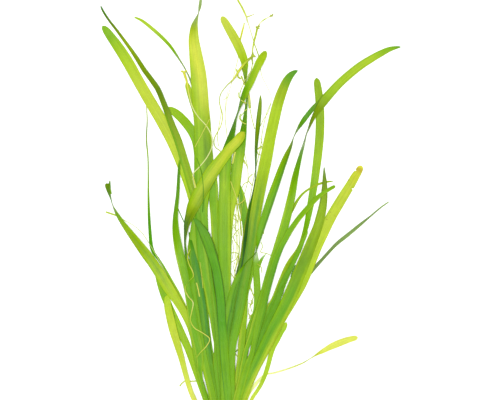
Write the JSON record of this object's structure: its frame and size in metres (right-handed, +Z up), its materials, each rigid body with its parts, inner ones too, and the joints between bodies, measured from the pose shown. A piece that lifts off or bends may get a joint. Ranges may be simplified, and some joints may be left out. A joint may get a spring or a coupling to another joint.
{
  "type": "vallisneria",
  "caption": "Picked vallisneria: long ribbon leaves and thin coiling flower stalks fanning from a short crown, laid down flat.",
  "frame": {"origin": "centre of the bounding box's bottom face, on the surface that the plant lies on", "axes": "+Y from the crown towards the leaf tips, +X to the right of the fan seen from above, +Z up off the surface"},
  "size_m": [0.1954, 0.3042, 0.0204],
  "materials": {
    "arc": "moist, slightly glossy leaf",
    "bright": "moist, slightly glossy leaf",
    "bright_right": "moist, slightly glossy leaf",
    "crown": "moist plant tissue",
    "dark": "moist, slightly glossy leaf",
    "deep": "moist, slightly glossy leaf",
    "deep_edge": "moist, slightly glossy leaf",
    "dusty": "moist, slightly glossy leaf",
    "grey": "moist, slightly glossy leaf",
    "grey_thin": "moist, slightly glossy leaf",
    "mid": "moist, slightly glossy leaf",
    "olive": "moist, slightly glossy leaf",
    "olive_right": "moist, slightly glossy leaf",
    "pale": "moist, slightly glossy leaf",
    "pale_tip": "moist, slightly glossy leaf",
    "stalk": "moist plant tissue",
    "tall": "moist, slightly glossy leaf",
    "yellow": "moist, slightly glossy leaf",
    "yellow_right": "moist, slightly glossy leaf"
  },
  "bodies": {
    "root": {"leaf_right_dusty": "dusty", "leaf_low_right_small": "pale", "leaf_low_right_blunt": "mid", "leaf_left_edgewise": "grey", "leaf_left_under": "deep", "leaf_arching_thin": "grey_thin", "leaf_small_behind_tall": "mid", "leaf_arched_left": "mid", "leaf_left_broad": "bright", "leaf_left_long": "olive", "leaf_centre_under": "deep", "leaf_pointed_behind_right": "deep", "leaf_small_hooked": "mid", "leaf_pale_tip": "pale_tip", "leaf_strip_right": "bright", "leaf_torn_left": "mid", "leaf_low_left_pale": "pale", "leaf_tall": "tall", "leaf_twisted_centre": "deep_edge", "leaf_right_nibbled": "yellow_right", "leaf_right_upright": "bright_right", "leaf_right_sliver": "deep", "leaf_right_thin_olive": "olive", "leaf_right_olive": "olive_right", "leaf_dark_left": "deep", "leaf_right_dark_upright": "dark", "leaf_right_broad": "bright_right", "leaf_right_crossing": "deep_edge", "leaf_right_arc": "arc", "leaf_right_blunt_thin": "mid", "leaf_folded_yellow": "yellow", "leaf_left_front": "mid", "leaf_centre_short": "deep_edge", "stalk_left_thread": "stalk", "stalk_left_curling": "stalk", "stalk_left_flower": "stalk", "stalk_centre_left": "stalk", "stalk_centre_pale": "stalk", "stalk_centre_right": "stalk", "stalk_tall": "stalk", "crown": "crown"}
  },
  "joints": []
}
